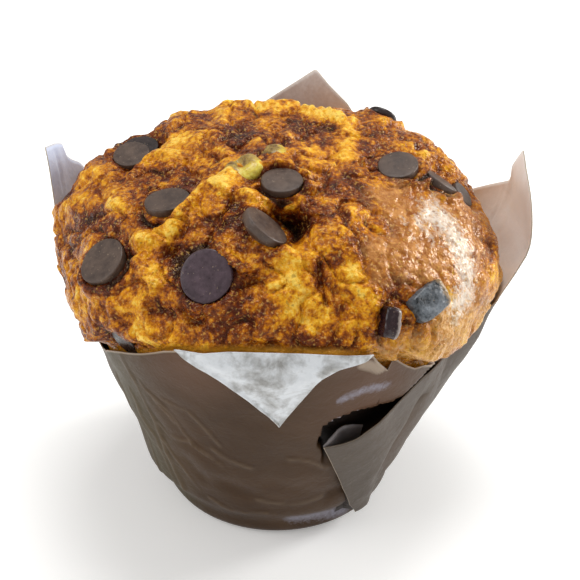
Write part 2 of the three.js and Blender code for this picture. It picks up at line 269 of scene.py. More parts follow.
# The cake: its plain dome, and what is shaped and painted on it.
cake = dict(
    centre=np.array([0, 0, 44.0]),
    lean=np.array([0, -0.16, 0.46]),  # gathers the mesh towards the crown and the front
    gap=1.3,  # between the cake and the paper's outside
    lift=0.85,  # of its underside
    cuts=(3, 3, 3, 1),
    swells=[(9, 4, 1.0), (4.2, 5, 0.62)],  # fine lumps: size, seed, height
    crumbGrains=(1.25, 8), cragGrains=(2.6, 9), pimples=(0.85, 10),  # size, seed
    profile=[
        (0, 0), (12, 0), (21, 0), (23.2, 1), (24.3, 3.2), (25.8, 9), (29, 19), (31.6, 27),
        (33.2, 32), (35.4, 36), (38.2, 39.5), (40.6, 43.5), (42.3, 47.5), (43, 52), (42.6, 56.5),
        (41.3, 61), (38.6, 65.4), (34.8, 69.2), (29.6, 72.8), (23.6, 75.8), (16.8, 78),
        (9, 79.2), (0, 79.5),
    ],
    # lumps of the CAD crust: azimuth, elevation and width in degrees, rise
    lumps=[
        (172, 24, 15, 2.2), (171, 36, 9, 2.4), (142, 50, 10, 2.0), (122, 50, 12, 0.2),
        (250, 78, 12, 0.8), (222, 46, 9, -0.6), (215, 30, 13, 0.8), (205, 62, 9, -2),
        (248, 55, 11, 1.2), (258, 38, 8, -1), (275, 62, 8, -1.2), (298, 40, 12, 1.6),
        (278, 26, 7, -1.2), (345, 22, 18, 2), (20, 40, 14, 2), (50, 45, 16, 0.9), (36, 44, 8, -1),
        (197, 6, 10, -1.3), (345, 56, 8, -1.4), (310, 15, 10, 1), (348, 6, 8, 2.2),
        (225, 4, 14, 1), (80, 15, 20, 1),
    ],
    # raised welts and sunken cracks of the crust: (azimuth, elevation) points, height, width
    welts=[
        ([(118, 59), (98, 64), (73, 64), (49, 65), (35, 64)], 1.3, 2.4),
        ([(129, 64), (160, 71), (187, 74), (221, 71), (239, 64)], 0.9, 2.0),
        ([(175, 37), (188, 41), (204, 43)], 0.9, 1.8),
        ([(190, 48), (184, 52), (180, 55), (186, 58), (193, 61)], 0.9, 1.5),
        ([(216, 39), (226, 39), (233, 42), (233, 47), (232, 53), (230, 58), (239, 60),
          (251, 59), (261, 57), (268, 55)], 1.1, 1.6),
        ([(226, 39), (230, 34), (236, 30), (236, 25)], 0.8, 1.6),
        ([(176, 23), (186, 31), (194, 37), (207, 42)], 0.9, 1.8),
        ([(259, 40), (266, 42), (273, 42), (277, 40)], 0.8, 1.2),
        ([(259, 70), (269, 72), (284, 71), (291, 67)], 0.8, 1.2),
        ([(299, 51), (308, 51), (314, 46)], 0.5, 1.1),
        ([(334, 16), (336, 17)], 0.6, 3.5),
    ],
    cracks=[
        ([(283, 39), (283, 34), (283.4, 29)], 1.7, 0.5),
        ([(286, 40), (287, 36), (286.5, 31)], 0.7, 1.6),
        ([(256.5, 49), (258.5, 49)], 1.8, 0.6),
        ([(302.5, 21), (303.5, 21)], 1.2, 0.5),
        ([(236, 38.5), (241, 36.5)], 1.6, 1.3),
        ([(287, 32), (291, 29)], 0.9, 1.2),
        ([(252, 55), (257, 51)], 0.7, 1.2),
        ([(262, 68), (256, 64)], 0.8, 1.0),
    ],
    # where the swirled cocoa lies thick: points, width, strength
    cocoa=[
        ([(192, 32), (203, 35), (212, 37)], 2.2, 1), ([(224, 36), (229, 33), (229, 28)], 1.6, 1.1),
        ([(196, 53), (197, 57), (211, 59)], 2.2, 0.8), ([(183, 37), (184, 38)], 1.8, 0.7),
        ([(153, 60), (138, 60)], 2, 0.7), ([(152, 75), (203, 76)], 2.4, 0.9),
        ([(173, 79), (144, 82)], 2.2, 0.9), ([(249, 78), (265, 72)], 2.2, 1.1),
        ([(7, 87), (300, 82)], 2.2, 0.9), ([(251, 54), (256, 52), (260, 49), (251, 48)], 1.8, 1.1),
        ([(237, 38), (242, 36)], 1.8, 1.2), ([(247, 30), (254, 28), (261, 31)], 2, 0.7),
        ([(242, 25), (251, 24), (261, 26)], 2.4, 0.5), ([(244, 19), (254, 21), (266, 22)], 2.4, 0.25),
        ([(63, 80), (26, 78), (32, 70), (64, 73)], 3, 0.8),
        ([(285, 62), (291, 56), (304, 56)], 3, 0.55), ([(292, 51), (283, 49), (297, 47)], 2.6, 0.5),
        ([(313, 52), (320, 56)], 2.6, 0.5), ([(279, 23), (284, 20), (289, 22)], 2, 0.5),
        ([(230, 10), (246, 12), (262, 13), (276, 13)], 1.6, 0.2),
        ([(212, 48), (218, 53)], 2.2, 0.7), ([(170, 30), (178, 27)], 2.4, 0.5),
        ([(24, 58), (10, 58), (6, 63)], 2.6, 0.7), ([(340, 62), (352, 58)], 2.2, 0.6),
    ],
    # torn places and pale welts where the yellow crumb shows
    crumb=[
        ([(167, 57), (163, 60), (182, 61)], 2.2, 1), ([(206, 14), (215, 14), (205, 22)], 3, 0.6),
        ([(270, 35), (275, 36), (279, 31), (274, 29), (281, 26)], 2.2, 1.2),
        ([(287, 37), (287, 32), (290, 29)], 1.8, 0.9), ([(292, 37), (292, 33)], 1.6, 0.9),
        ([(327, 75), (323, 68), (353, 69)], 2.4, 0.9), ([(274, 56), (281, 58)], 1.5, 1.1),
        ([(232, 60), (246, 61)], 1.8, 0.8), ([(226, 30), (236, 20), (250, 17)], 3, 0.45),
        ([(288, 24), (292, 25)], 2, 0.8),
        ([(236, 9), (250, 15), (270, 17), (290, 14)], 4, 0.3),
        ([(100, 66), (60, 68), (30, 67)], 2.2, 0.5),
    ],
    # the smooth, tight skin on the right: pinkish brown and glossy
    skin=[
        ([(319, 45), (319, 38), (309, 36), (315, 30)], 5, 1), ([(333, 39), (335, 30)], 5, 1),
        ([(302, 40), (298, 34)], 3, 0.6), ([(330, 50), (318, 52)], 3, 0.5),
        ([(325, 26), (330, 18)], 6, 0.8), ([(345, 35), (355, 25)], 6, 0.7),
    ],
    # the shoulder painted pale where the light's glare falls on it: painted highlight
    frost=[([(331, 35), (329, 28), (325, 21), (320, 19)], 4.2, 1), ([(336, 42), (330, 40)], 2.6, 0.7),
           ([(319, 44), (316, 36)], 1.1, 0.6), ([(325, 42), (321, 35)], 0.9, 0.6)],
    # the lower right, dry and tan with fine pores
    tan=[
        ([(300, 13), (312, 9), (323, 12), (315, 16)], 5, 1), ([(335, 8), (342, 12)], 4, 0.9),
        ([(0, 10), (40, 10), (80, 12), (120, 12), (160, 10)], 9, 0.7),
    ],
    # the far right bank, broken into crumbs
    crags=[([(20, 60), (12, 52), (8, 46), (4, 40), (2, 34)], 4.5, 1), ([(40, 60), (30, 56)], 5, 0.8)],
    # how the crust meets a chip: its level at the chip's rim and beneath it, how far round the chip it is
    # drawn to that level, by how much at most, the painted shade round its rim (ring), and the gap where
    # it has drawn back, with its depth and painted shade
    seat=dict(rim=-0.1, waver=0.45, bed=-1.5, reach=2.6, sink=-4.5, rise=1.7, ring=0.45,
              gapDepth=1.7, gapShade=1.3),
    # which side of a chip the crust has drawn back from, as a direction, and how far
    openSides=dict(
        chip_left_side=((1, -0.4, -0.5), 1.8), chip_front=((-1, 0.2, 0.9), 2.1),
        chip_middle=((1, 0.5, 0.3), 1.7), chip_top=((-0.5, -1, 0), 1.2),
        chip_upper_left=((-0.8, -0.8, 0), 1.1), chip_right=((1, -0.2, 0), 1.0),
        chip_left_shoulder=((0.3, -1, 0), 0.9), chip_far_right=((-0.2, -1, -0.2), 1.2),
    ),
)


def cakeReach():  # the plain dome's distance from the centre for each half degree
    steps = []
    for (r0, z0), (r1, z1) in zip(cake["profile"][:-1], cake["profile"][1:]):
        for share in np.linspace(0, 1, 12, endpoint=False):
            steps.append((mix(r0, r1, share), mix(z0, z1, share) - cake["centre"][2]))
    radius, height = np.array(steps + [(0, cake["profile"][-1][1] - cake["centre"][2])]).T
    elevations = np.linspace(-90, 90, 361)
    reach = np.interp(elevations, np.degrees(np.arctan2(height, radius)), np.hypot(radius, height))
    blurred = np.convolve(np.pad(reach, 10, mode="edge"), np.ones(21) / 21, mode="valid")
    return elevations, mix(reach, blurred, smooth(-25, -10, elevations))


reachElevations, reachDistances = cakeReach()


def cakeSurface(ways):  # points of the crust without its fine relief, along unit vectors
    elevation = np.degrees(np.arcsin(np.clip(ways[:, 2], -1, 1)))
    reach = np.interp(elevation, reachElevations, reachDistances)
    points = cake["centre"] + ways * reach[:, None]
    points[:, 2] += cake["lift"] * (1 - smooth(0, 10, points[:, 2]))
    rise = np.zeros(len(points))
    for azimuth, height, width, amount in cake["lumps"]:
        away = np.degrees(np.arccos(np.clip(ways @ bearing(azimuth, height), -1, 1)))
        rise += amount * bell(away, width)
    points += ways * (rise * smooth(36, 46, points[:, 2]))[:, None]
    return holdIn(points)


def holdIn(points):  # below the paper's edge the cake stays inside the paper
    azimuth = np.degrees(np.arctan2(points[:, 1], points[:, 0]))
    radius = np.hypot(points[:, 0], points[:, 1])
    height = points[:, 2]
    bay = 2.4 * pocketDepth(np.mod(azimuth, 360), height + 1) * (height < 43)
    held = caseRadius(azimuth, height) - cake["gap"] - bay
    edge = around(case["rim"], azimuth)
    inside = 1 - smooth(edge + 0.4, edge + 4, height)
    scale = mix(1, np.minimum(1, held / np.maximum(radius, 0.01)), inside)
    points[:, :2] *= scale[:, None]
    return points


def crustPath(places):
    azimuths, elevations = np.array(places, float).T
    return cakeSurface(bearing(azimuths, elevations))


def strokes(points, rows):  # the strength of broad soft strokes along the crust
    total = np.zeros(len(points))
    for path, width, strength in rows:
        total += strength * bell(pathDistance(points, crustPath(path)), width)
    return total


def chipFrame(points, centre, normal):  # height above a chip's face, and the way along it
    away = points - centre
    height = away @ normal
    return height, away - height[:, None] * normal


def makeCake():
    piece = makeBlock("cake_crumb_and_crust", cake["centre"] * mm, cake["cuts"])
    ways = unit(np.tan((pointsOf(piece) - cake["centre"]) * math.pi / 4))
    ways = unit(ways + cake["lean"])
    points = cakeSurface(ways)
    azimuth = np.degrees(np.arctan2(points[:, 1], points[:, 0]))
    edge = around(case["rim"], azimuth)
    slack = caseRadius(azimuth, points[:, 2]) - np.hypot(points[:, 0], points[:, 1])
    clear = smooth(cake["gap"] + 0.2, cake["gap"] + 1.6, slack) * smooth(42, 46, points[:, 2])
    free = np.maximum(smooth(edge - 0.6, edge + 1.0, points[:, 2]), clear)  # 1 in the open

    wobble = np.stack([grain(points, 5, seed) for seed in (1, 2, 3)], -1)
    wandered = points + 1.3 * wobble
    cocoa = strokes(wandered, cake["cocoa"])
    crumb = strokes(wandered, cake["crumb"])
    skin, frost, tan, crags = (np.clip(strokes(wandered, cake[name]), 0, 1)
                               for name in ("skin", "frost", "tan", "crags"))

    relief = np.zeros(len(points))
    for path, height, width in cake["welts"]:
        relief += 1.35 * height * bell(pathDistance(wandered, crustPath(path)), width)
    for path, depth, width in cake["cracks"]:
        relief -= depth * bell(pathDistance(points + 0.4 * wobble, crustPath(path)), width)
    tight = 1 - 0.75 * np.clip(skin + 0.7 * tan, 0, 1)  # the stretched skin is smoother
    for size, seed, height in cake["swells"]:
        relief += height * grain(points, size, seed) * tight
    folds = np.abs(grain(points + 1.2 * wobble, 5.5, 6))
    relief -= 0.9 * bell(folds, 0.09) * tight * (1 - crags)  # thin wrinkles
    relief += 0.34 * grain(points, 2.1, 7) * mix(0.5, 1, tight)
    relief += (0.22 + 0.22 * np.clip(crumb, 0, 1) + 0.5 * crags) * grain(points, *cake["crumbGrains"])
    relief += 0.6 * crags * grain(points, *cake["cragGrains"])
    relief += 0.14 * grain(points, *cake["pimples"])

    seat = cake["seat"]
    # dark is painted shade: a dark ring round each chip's rim and a darker band in the gap where the
    # crust has drawn back
    dark = np.zeros(len(points))
    quiet = np.ones(len(points))  # falls to 0 beneath a chip
    sunk = points.copy()
    for name, (centre, normal, radius) in chipFaces.items():
        height, beside = chipFrame(points, centre, normal)
        across = np.linalg.norm(beside, axis=1)
        near = np.linalg.norm(points - centre, axis=1) < radius + 5
        pull = (1 - smooth(radius + 0.5, radius + seat["reach"], across)) * near
        rimLevel = seat["rim"] + seat["waver"] * wobble[:, 0]
        level = mix(rimLevel, seat["bed"], 1 - smooth(radius - 0.45, radius + 0.1, across))
        steep = np.clip(ways @ normal, 0.4, 1)
        sunk += ways * (np.clip((level - height) / steep, seat["sink"], seat["rise"]) * pull)[:, None]
        quiet = np.minimum(quiet, mix(1, smooth(radius - 0.5, radius + 0.8, across), near))
        dark = np.maximum(dark, seat["ring"] * bell(across - radius - 0.1, 0.5) * near)
        if name in cake["openSides"]:
            side, width = cake["openSides"][name]
            side = np.array(side, float)
            side -= normal * (side @ normal)
            side /= np.linalg.norm(side)
            facing = np.clip(beside @ side / np.maximum(across, 0.1), 0, 1)
            moat = bell(across - radius - 0.4 * width, 0.55 * width) * smooth(0.35, 0.9, facing) * near
            sunk -= ways * (seat["gapDepth"] * moat)[:, None]
            dark = np.maximum(dark, seat["gapShade"] * moat)
    points = sunk + ways * (relief * quiet * free)[:, None]
    points = holdIn(points)
    for centre, normal, radius in chipFaces.values():  # nothing pokes through a chip
        height, beside = chipFrame(points, centre, normal)
        over = np.clip(height + 0.6, 0, 6) * (height < 6)
        over *= np.linalg.norm(beside, axis=1) < radius - 0.3
        points -= ways * (over / np.clip(ways @ normal, 0.5, 1))[:, None]
    movePoints(piece, points)
    paint(piece, "cocoa", np.clip(cocoa, 0, 1.3) * (1 - 0.8 * np.clip(crumb, 0, 1)))
    paint(piece, "crumb", np.clip(crumb, 0, 1.2))
    paint(piece, "skin", skin * (1 - np.clip(crumb, 0, 1)))
    paint(piece, "frost", frost)
    paint(piece, "tan", tan)
    paint(piece, "relief", np.clip(relief, -1, 3) * quiet)
    paint(piece, "dark", dark)
    paint(piece, "free", free)
    bpy.ops.object.shade_smooth()
    return piece


# Materials. Colours are sRGB hex values, and every pattern is sized in millimetres.

def hexColour(code):  # an sRGB hex colour as linear red, green, blue, alpha
    parts = [int(code[i:i + 2], 16) / 255 for i in (1, 3, 5)]
    return [p / 12.92 if p <= 0.04045 else ((p + 0.055) / 1.055) ** 2.4 for p in parts] + [1]


def addNode(tree, kind, settings=None, links=None):
    node = tree.nodes.new(kind)
    for key, value in (settings or {}).items():
        if key == "stops":
            for i, (place, code) in enumerate(value):
                stop = node.color_ramp.elements[i] if i < 2 else node.color_ramp.elements.new(place)
                stop.position = place
                stop.color = hexColour(code)
        elif isinstance(key, int) or key[0].isupper():
            node.inputs[key].default_value = value
        else:
            setattr(node, key, value)
    for key, source in (links or {}).items():
        if isinstance(source, str):  # a plain colour
            node.inputs[key].default_value = hexColour(source)
        else:
            tree.links.new(source, node.inputs[key])
    return node


# Starts a material with its fields, which are numbers that vary over the surface: noise patterns
# (name, size of the lumps, detail, roughness, twist) and the values painted on the mesh.
def startMaterial(name, patterns, painted=()):
    material = bpy.data.materials.new(name)
    material.use_nodes = True
    tree = material.node_tree
    tree.nodes.clear()
    shader = addNode(tree, "ShaderNodeBsdfPrincipled")
    addNode(tree, "ShaderNodeOutputMaterial", links={"Surface": shader.outputs[0]})
    place = addNode(tree, "ShaderNodeTexCoord").outputs["Object"]
    fields = {"place": place}
    for key, size, detail, rough, twist in patterns:
        fields[key] = addNode(tree, "ShaderNodeTexNoise", {
            "Scale": 1 / (size * mm), "Detail": detail, "Roughness": rough, "Distortion": twist,
        }, {"Vector": place}).outputs["Fac"]
    for key in painted:
        fields[key] = addNode(tree, "ShaderNodeAttribute", {"attribute_name": key}).outputs["Fac"]
    return material, tree, shader, fields


def weigh(tree, fields, weights, bias=0.0):  # adds up fields, each times its weight
    total = None
    for key, weight in weights.items():
        links = {0: fields[key]} if total is None else {0: fields[key], 2: total}
        total = addNode(tree, "ShaderNodeMath", {
            "operation": "MULTIPLY_ADD", 1: weight, 2: bias}, links).outputs[0]
    return total


# Lays colours over each other. A layer is the field that masks it and its colour, and it may say
# where the field begins to count, where it is full and how much the layer covers there.
def layColours(tree, fields, colour, layers):
    for mask, over, *spread in layers:
        share = fields[mask]
        if spread:
            low, high, most = spread
            share = addNode(tree, "ShaderNodeMapRange", {
                "From Min": low, "From Max": high, "To Max": most}, {"Value": share}).outputs[0]
        colour = addNode(tree, "ShaderNodeMix", {"data_type": "RGBA"},
                         {0: share, 6: colour, 7: over}).outputs[2]
    return colour


# Gives the shader its colour, its roughness between two values as a field goes from low to high,
# and its fine relief.
def finishSurface(tree, shader, fields, colour, sheen, relief):
    field, low, high, smoothest, dullest = sheen
    height, depth, strength = relief
    rough = addNode(tree, "ShaderNodeMapRange", {
        "From Min": low, "From Max": high, "To Min": smoothest, "To Max": dullest},
        {"Value": fields[field]})
    bump = addNode(tree, "ShaderNodeBump", {"Distance": depth * mm, "Strength": strength},
                   {"Height": height})
    tree.links.new(colour, shader.inputs["Base Color"])
    tree.links.new(rough.outputs[0], shader.inputs["Roughness"])
    tree.links.new(bump.outputs[0], shader.inputs["Normal"])
    return bump


# Baked sponge with a sticky crust: yellow crumb, golden to brown where it caught the heat, with swirled
# cocoa in the wrinkles, darker in its hollows and paler on its ridges, a granular texture, and fine
# golden specks painted all over as sugar glints: painted highlights.
def crustMaterial():
    material, tree, shader, fields = startMaterial("bakedSpongeCrust", [
        ("patches", 5.5, 5, 0.68, 0.5),  # swirls of cocoa batter
        ("mottle", 1.9, 3, 0.6, 0.3),
        ("grains", 0.8, 2, 0.6, 0),  # sugar and crumb grains
        # specks place the fine golden spots painted as sugar glints: painted highlights
        ("specks", 0.55, 1, 0.5, 0), ("pores", 0.9, 1, 0.5, 0), ("grit", 0.4, 1, 0.5, 0),
    ], ["cocoa", "crumb", "skin", "frost", "tan", "relief", "dark", "free"])
    place = fields["place"]
    crumbSize, wanderSize, wanderReach = 1.0 * mm, 1.5 * mm, 0.9 * mm
    wander = addNode(tree, "ShaderNodeTexNoise", {"Scale": 1 / wanderSize, "Detail": 1.0},
                     {"Vector": place})
    drift = addNode(tree, "ShaderNodeVectorMath", {"operation": "MULTIPLY_ADD", 1: (wanderReach,) * 3},
                    {0: wander.outputs["Color"], 2: place})
    cells = addNode(tree, "ShaderNodeTexVoronoi", {"Scale": 1 / crumbSize}, {"Vector": drift.outputs[0]})
    fields["crumbs"] = cells.outputs["Distance"]  # 0 at the middle of each crumb
    # toast, the baked colour, is darker where dark is painted (painted shade round the chips), and darker
    # in the hollows and paler on the ridges of relief
    toast = weigh(tree, fields, dict(patches=1.45, mottle=0.85, grains=0.65, crumbs=0.2, cocoa=0.22,
                                     crumb=-0.36, relief=-0.17, skin=0.06, tan=-0.1, dark=0.4), -1.11)
    baked = addNode(tree, "ShaderNodeValToRGB", {"stops": [
        (0.0, "#F6CC58"), (1.0, "#2A0C06"), (0.15, "#E9AA24"), (0.31, "#CC820C"), (0.45, "#A45A08"),
        (0.58, "#783606"), (0.74, "#521A08"),
    ]}, {"Fac": toast}).outputs["Color"]
    skinTone = layColours(tree, fields, "#84481A", [("mottle", "#C68A4E", 0.35, 0.65, 1)])
    tanTone = layColours(tree, fields, "#A9701F", [("grains", "#E0B372", 0.35, 0.68, 1)])
    fields["skinShare"] = weigh(tree, fields, dict(skin=1.0, mottle=0.9, patches=0.7), -1.06)
    # painted highlight: the glare on the right shoulder, laid on as pale colour and broken up by the
    # grains
    fields["glareShare"] = weigh(tree, fields, dict(frost=1.25, grains=2.0, mottle=0.8), -1.82)
    # Over the baked colour: the skin, the tan, the painted glare and the golden specks painted as glints
    # (painted highlights), the dark pores, and dark, painted shade round the chips
    colour = layColours(tree, fields, baked, [
        ("skinShare", skinTone, 0, 0.75, 1), ("tan", tanTone, 0.1, 0.9, 0.8),
        ("glareShare", "#E6DDCE", 0.1, 0.9, 0.78), ("specks", "#DFAE58", 0.58, 0.7, 0.45),
        ("pores", "#4A1C08", 0.36, 0.27, 0.45), ("dark", "#1A0C0A", 0.6, 1.3, 0.85),
    ])
    colour = layColours(tree, fields, "#C98F2C", [("free", colour)])  # pale under the paper
    fields["gloss"] = weigh(tree, fields, dict(skin=-0.1, frost=-0.06, cocoa=-0.08, crumb=0.2,
                                               grains=0.4), 0.08)
    height = weigh(tree, fields, dict(grains=0.8, mottle=0.7, crumbs=-0.5, grit=0.15))
    bump = finishSurface(tree, shader, fields, colour, ("gloss", 0.16, 0.8, 0.2, 0.6), (height, 0.4, 1))
    tree.links.new(weigh(tree, fields, dict(skin=-0.55, tan=-0.25), 1.0), bump.inputs["Strength"])
    shader.inputs["IOR"].default_value = 1.46
    shader.inputs["Specular IOR Level"].default_value = 0.4
    shader.inputs["Specular Tint"].default_value = hexColour("#FFDCB8")
    return material


# Dark chocolate, moulded as drops: cocoa butter has bloomed to a matt grey-brown skin.
def chocolateMaterial(name, deep, bloom, sheen, grainSize=0.9, crusted=None):
    material, tree, shader, fields = startMaterial(name, [
        ("cloud", 3.5, 4, 0.6, 0.4), ("fine", grainSize, 3, 0.6, 0), ("specks", 0.42, 1, 0.5, 0),
        ("grit", 0.35, 1, 0.5, 0),
    ], ["crusted"] if crusted else [])
    fields["bloom"] = weigh(tree, fields, dict(cloud=1.1, fine=0.5), -0.35)
    layers = [("bloom", bloom, 0.25, 0.68, 1), ("specks", "#A08C74", 0.7, 0.76, 0.5)]
    if crusted:
        fields["crust"] = weigh(tree, fields, dict(crusted=1, fine=0.8), -0.4)
        layers.append(("crust", crusted, 0.1, 0.6, 1))
    colour = layColours(tree, fields, deep, layers)
    height = weigh(tree, fields, dict(fine=0.5, grit=0.3))
    finishSurface(tree, shader, fields, colour, ("fine", 0.3, 0.7, sheen - 0.08, sheen + 0.12),
                  (height, 0.25, 0.35))
    shader.inputs["IOR"].default_value = 1.46
    return material


# Candied fruit cooked translucent: pale yellow-green, wet, with cloudy pulp inside.
def fruitMaterial():
    material, tree, shader, fields = startMaterial("candiedFruit", [
        ("cloud", 2.2, 4, 0.6, 0.6), ("fine", 0.6, 2, 0.5, 0)], ["lit"])
    share = weigh(tree, fields, dict(cloud=1.2, fine=0.5, lit=0.5), -0.55)
    colour = addNode(tree, "ShaderNodeValToRGB", {"stops": [
        (0.1, "#6A4C1C"), (0.95, "#E2D45C"), (0.35, "#A08440"), (0.6, "#C4A534"),
    ]}, {"Fac": share}).outputs["Color"]
    finishSurface(tree, shader, fields, colour, ("fine", 0.3, 0.7, 0.22, 0.42),
                  (fields["cloud"], 0.4, 0.5))
    shader.inputs["Subsurface Weight"].default_value = 0.25
    shader.inputs["Subsurface Radius"].default_value = (0.0012, 0.0009, 0.0003)
    return material


# Greaseproof paper, printed brown on its outside: dull gloss, pale lines where it is creased
# and along its cut edge, nearly black painted shade in the pleat's opening, and bluish-grey scuffs with
# painted sheen and glints.
def paperOutsideMaterial():
    material, tree, shader, fields = startMaterial("greaseproofPaperOutside", [
        ("cloud", 14, 4, 0.55, 0.5), ("fibres", 0.7, 4, 0.65, 0), ("ripple", 3.2, 3, 0.5, 0.8),
    ], ["crease", "shade", "edge", "warm", "olive", "grey", "worn"])
    # scuffs and wear, together with painted sheen and glints: painted highlights
    fields["scuffAndSheenMask"] = weigh(tree, fields, dict(worn=1.0, fibres=1.2), -0.85)
    colour = layColours(tree, fields, "#382412", [
        ("cloud", "#45301E", 0.35, 0.65, 1), ("warm", "#5A4030"), ("olive", "#443C24"),
        ("grey", "#57514B"), ("fibres", "#6A563E", 0.3, 0.7, 0.14),
        ("crease", "#85735F", 0.1, 1, 0.26), ("shade", "#0C0808", 0, 1, 0.95),
        ("scuffAndSheenMask", "#8E8C98", 0.15, 0.85, 0.8), ("edge", "#B5A592", 0.5, 1, 0.8),
    ])
    height = weigh(tree, fields, dict(fibres=0.25, ripple=1.0))
    finishSurface(tree, shader, fields, colour, ("fibres", 0.3, 0.7, 0.4, 0.56), (height, 0.35, 0.5))
    shader.inputs["IOR"].default_value = 1.48
    shader.inputs["Specular IOR Level"].default_value = 0.18
    return material


# The same paper's inside: unprinted, waxy and pale, with cloudy patches. Painted light lies on it too:
# grey and white glare patches on the folded corner (painted reflection), a bluish sky reflection on the
# left petal, near-white light on the right petal, and painted shade on the back petal and in the pleat's
# opening.
def paperInsideMaterial():
    material, tree, shader, fields = startMaterial("greaseproofPaperInside", [
        ("cloud", 4.5, 5, 0.62, 0.3), ("fibres", 0.8, 3, 0.6, 0),
    ], ["cool", "warmInside", "silver", "back", "edge", "shade"])
    # grey and white patches for the folded corner: painted reflection of glare over the pale paper
    glarePatches = layColours(tree, fields, "#8C8B88", [("cloud", "#D4D8DC", 0.34, 0.56, 1)])
    colour = layColours(tree, fields, "#C4B6A8", [
        ("cloud", "#DDD0C2", 0.3, 0.7, 1), ("warmInside", "#FCF6F0"), ("back", "#C0B2A9"),
        ("cool", "#CAD6F0"), ("silver", glarePatches), ("fibres", "#FFFFFF", 0.35, 0.7, 0.15),
        ("shade", "#3E3C48"), ("edge", "#D8CCBC", 0.5, 1, 0.6),
    ])
    height = weigh(tree, fields, dict(cloud=1.0, fibres=0.3))
    finishSurface(tree, shader, fields, colour, ("cloud", 0.3, 0.7, 0.36, 0.58), (height, 0.35, 0.45))
    shader.inputs["IOR"].default_value = 1.48
    return material


crust = crustMaterial()
chocolate = chocolateMaterial("bloomedDarkChocolate", "#3E2F27", "#5E4C40", 0.42)
chocolateCool = chocolateMaterial("bloomedDarkChocolateCool", "#34262C", "#503E46", 0.34)
# painted shade: a darker copy of the chip chocolate, for chips that sit behind others and at the crust's
# edge
chocolateInShade = chocolateMaterial("shadedDarkChocolateDrop", "#1C1210", "#352622", 0.3)
chunkDark = chocolateMaterial("meltedDarkChocolate", "#1A0E12", "#30181C", 0.24, crusted="#8C7F78")
chunkGrey = chocolateMaterial("chocolateUnderGlaze", "#121416", "#767C82", 0.3, 0.5, crusted="#94713A")
fruit = fruitMaterial()
paperOutside = paperOutsideMaterial()
paperInside = paperInsideMaterial()
print("materials are ready")

# The paper: a wall with its base, the folded corner, the pleat's flap and the layer behind it.
paper = dict(
    # creases pressed into the wall: (azimuth, height) points, how far they stand out, width
    creases=[
        ([(229, 43.4), (235, 38.2), (241, 28.9), (251, 24.6)], 0.5, 0.7),
        ([(236, 41.2), (244, 40.1), (248, 35.9), (252, 31.3)], 0.45, 0.7),
        ([(232, 39.5), (236, 34)], 0.35, 0.6),
        ([(227, 30.6), (231, 28.6), (240, 29), (248, 27)], 0.45, 0.7),
        ([(226, 25.4), (229, 22), (232, 17.8), (236, 12)], 0.4, 0.8),
        ([(249, 29.7), (254, 27.3), (261, 25.2)], 0.4, 0.9),
        ([(274, 28.6), (280, 27.6), (288, 24)], 0.45, 0.8),
        ([(225, 49), (225, 4)], 0.55, 1.1), ([(262, 14), (276, 12), (288, 13.6)], 0.3, 1.0),
        ([(240, 10), (252, 8), (266, 9)], 0.35, 0.9), ([(216, 36), (221, 22), (220, 8)], 0.3, 0.9),
        ([(205, 34), (210, 20), (208, 8)], 0.35, 0.9), ([(15, 62), (14, 40), (12, 22)], 0.5, 0.8),
        ([(8, 60), (6, 44), (9, 30)], 0.35, 0.8), ([(45, 46), (45, 4)], 0.6, 1.0),
        ([(135, 44), (135, 4)], 0.6, 1.0), ([(78, 74), (78, 44)], 0.3, 1.2),
        ([(166, 72), (168, 44)], 0.4, 1.0), ([(60, 52), (66, 30), (58, 14)], 0.35, 0.9),
        ([(95, 60), (104, 36), (98, 16)], 0.35, 0.9), ([(120, 44), (112, 24)], 0.35, 0.9),
        ([(150, 50), (158, 28), (150, 12)], 0.35, 0.9), ([(180, 50), (186, 30), (180, 14)], 0.35, 0.9),
    ],
    # dents where the paper buckled near the foot
    dents=[
        ([(292, 13.6), (297, 14.2)], 0.8, 1.4), ([(304, 6.7), (306, 6)], 0.6, 1.2),
        ([(250, 18), (258, 16)], 0.5, 2.2), ([(236, 22), (240, 18)], 0.6, 2.0),
        ([(268, 20), (276, 18)], 0.4, 2.4), ([(30, 24), (36, 18)], 0.6, 2.4),
        ([(88, 26), (92, 20)], 0.6, 2.6), ([(200, 26), (204, 20)], 0.5, 2.4),
    ],
    cornerEdges=[  # the folded corner: height, its left edge, its right edge
        (40.6, 0.5, 0.7), (44, -1.8, 2.4), (46.8, -4, 3.9), (48, -5, 4.6), (50.5, -7.4, 6),
        (52, -8.9, 6.9), (53.3, -10.3, 7.8), (55.6, -13.2, 10.7), (56.6, -14.7, 13.6),
        (57.4, -16.2, 15.6), (58.8, -17.6, 16.8),
    ],
    flapLens=[(283.6, 32.6), (285.6, 34.3), (288.6, 35.4), (291.5, 35.6), (294, 35.2), (298, 34)],
    flapCrease=[(3.4, 307), (4.5, 305.9), (8, 301.3), (16.6, 294.2), (25.1, 288.3), (32.6, 283.6)],
    flapDips=[
        ([(322, 34), (318, 24), (314, 14)], 0.7, 2.2), ([(328, 30), (324, 18), (322, 8)], 0.8, 2.2),
        ([(306, 30), (310, 18)], -0.3, 2.4),
    ],
    flapEnd=329, flapFoot=3.4,
)


def creaseRelief(points):
    relief, lines = np.zeros(len(points)), np.zeros(len(points))
    wobble = np.stack([grain(points, 6, seed) for seed in (21, 22, 23)], -1)
    for path, height, width in paper["creases"]:
        away = pathDistance(points + 0.8 * wobble, casePath(path))
        line = bell(away, 0.62 * width)
        relief += 0.8 * height * line - 0.5 * height * bell(away, 3 * width)
        lines = np.maximum(lines, line)
    for path, depth, width in paper["dents"]:
        relief -= depth * bell(pathDistance(points, casePath(path)), width)
    relief += 0.5 * grain(points, 12, 24) + 0.18 * grain(points, 5, 25)
    return relief, lines


